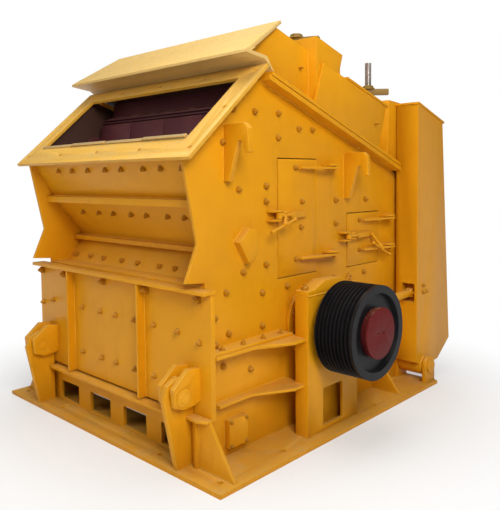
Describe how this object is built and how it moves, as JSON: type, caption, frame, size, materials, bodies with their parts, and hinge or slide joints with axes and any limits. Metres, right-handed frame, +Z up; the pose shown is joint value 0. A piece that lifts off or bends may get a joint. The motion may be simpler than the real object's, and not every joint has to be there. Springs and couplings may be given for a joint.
{
  "type": "impact crusher",
  "caption": "Horizontal-shaft impact crusher with slanted feed opening, hinged front door, tilting rear housing, side inspection doors and grooved drive sheave on a flanged base.",
  "frame": {"origin": "bottom centre of the base plate", "axes": "X along the rotor shaft with the drive sheave at +X, Y from the feed side to the rear, Z up"},
  "size_m": [2.552, 2.802, 2.62],
  "materials": {
    "yellow_paint": "gloss",
    "black_paint": "satin",
    "red_paint": "satin",
    "maroon_paint": "satin",
    "brown_paint": "satin",
    "bare_steel": "machined",
    "wear_iron": "rough"
  },
  "bodies": {
    "frame": {"access_covers": "yellow_paint", "base_gussets": "yellow_paint", "base_plate": "yellow_paint", "base_wall_left": "yellow_paint", "base_wall_right": "yellow_paint", "bearing_housing_left": "yellow_paint", "bearing_housing_right": "yellow_paint", "bearing_pedestal_left": "yellow_paint", "bearing_pedestal_right": "yellow_paint", "cylinder_anchors": "yellow_paint", "far_side_doors": "yellow_paint", "feed_frame": "yellow_paint", "feed_lip_plates": "yellow_paint", "front_beam": "yellow_paint", "front_hinge_brackets": "yellow_paint", "front_hinge_pins": "yellow_paint", "front_wall": "yellow_paint", "front_wall_ribs": "yellow_paint", "inspection_hinge_posts": "yellow_paint", "lifting_hooks": "yellow_paint", "rear_beam": "yellow_paint", "rear_hinge_brackets": "yellow_paint", "rear_hinge_pins": "yellow_paint", "seam_flange_left": "yellow_paint", "seam_flange_right": "yellow_paint", "shaft_seal_rings": "yellow_paint", "side_liner_left": "maroon_paint", "side_liner_right": "maroon_paint", "side_ribs_left": "yellow_paint", "side_ribs_right": "yellow_paint", "side_wall_left": "yellow_paint", "side_wall_right": "yellow_paint", "wall_pads": "yellow_paint"},
    "rotor": {"rotor_shaft": "bare_steel", "rotor_discs": "maroon_paint", "blow_bars": "wear_iron", "drive_sheave": "black_paint", "sheave_hub_cap": "red_paint"},
    "front_door_body": {"front_door": "yellow_paint", "front_door_ribs": "yellow_paint", "front_door_lugs": "yellow_paint"},
    "upper_door_body": {"upper_inspection_door": "yellow_paint", "upper_door_clamp": "yellow_paint"},
    "lower_door_body": {"lower_inspection_door": "yellow_paint", "lower_door_clamp": "yellow_paint"},
    "rear_housing": {"roof_deck": "yellow_paint", "roof_side_plates": "yellow_paint", "roof_beams": "yellow_paint", "feed_hood": "yellow_paint", "rear_wall": "yellow_paint", "side_box_right": "yellow_paint", "side_box_left": "yellow_paint", "rear_cross_beams": "yellow_paint", "apron_spindles": "bare_steel", "spindle_crossbars": "brown_paint", "impact_apron": "maroon_paint"},
    "barrel_right": {"cylinder_barrel_right": "yellow_paint"},
    "rod_right": {"cylinder_rod_right": "bare_steel"},
    "barrel_left": {"cylinder_barrel_left": "yellow_paint"},
    "rod_left": {"cylinder_rod_left": "bare_steel"}
  },
  "joints": [
    {"name": "rotor_spin", "type": "hinge", "parent": "frame", "child": "rotor", "pos_m": [0, -0.087, 0.689], "axis": [1, 0, 0], "continuous": true},
    {"name": "front_door_hinge", "type": "hinge", "parent": "frame", "child": "front_door_body", "pos_m": [0, -1.155, 0.445], "axis": [1, 0, 0], "range_deg": [0, 95]},
    {"name": "rear_housing_hinge", "type": "hinge", "parent": "frame", "child": "rear_housing", "pos_m": [0, 1.12, 0.149], "axis": [-1, 0, 0], "range_deg": [0, 35]},
    {"name": "upper_door_hinge", "type": "hinge", "parent": "frame", "child": "upper_door_body", "pos_m": [0.905, 0.14, 1.4], "axis": [0, 0, 1], "range_deg": [0, 100]},
    {"name": "lower_door_hinge", "type": "hinge", "parent": "frame", "child": "lower_door_body", "pos_m": [0.905, 0.872, 1.2], "axis": [0, 0, 1], "range_deg": [0, 95]},
    {"name": "barrel_pivot_right", "type": "hinge", "parent": "rear_housing", "child": "barrel_right", "pos_m": [0.985, 1.035, 0.725], "axis": [-1, 0, 0], "range_deg": [-33, 0]},
    {"name": "rod_slide_right", "type": "slide", "parent": "barrel_right", "child": "rod_right", "axis": [0, -0.9995, -0.0318], "range_m": [0, 0.36]},
    {"name": "barrel_pivot_left", "type": "hinge", "parent": "rear_housing", "child": "barrel_left", "pos_m": [-0.985, 1.035, 0.725], "axis": [-1, 0, 0], "range_deg": [-33, 0]},
    {"name": "rod_slide_left", "type": "slide", "parent": "barrel_left", "child": "rod_left", "axis": [0, -0.9995, -0.0318], "range_m": [0, 0.36]}
  ],
  "couplings": [
    {"joint": "barrel_pivot_right", "follows": "rear_housing_hinge", "ratio": -0.925},
    {"joint": "rod_slide_right", "follows": "rear_housing_hinge", "m_per_rad": 0.575},
    {"joint": "barrel_pivot_left", "follows": "rear_housing_hinge", "ratio": -0.925},
    {"joint": "rod_slide_left", "follows": "rear_housing_hinge", "m_per_rad": 0.575}
  ]
}
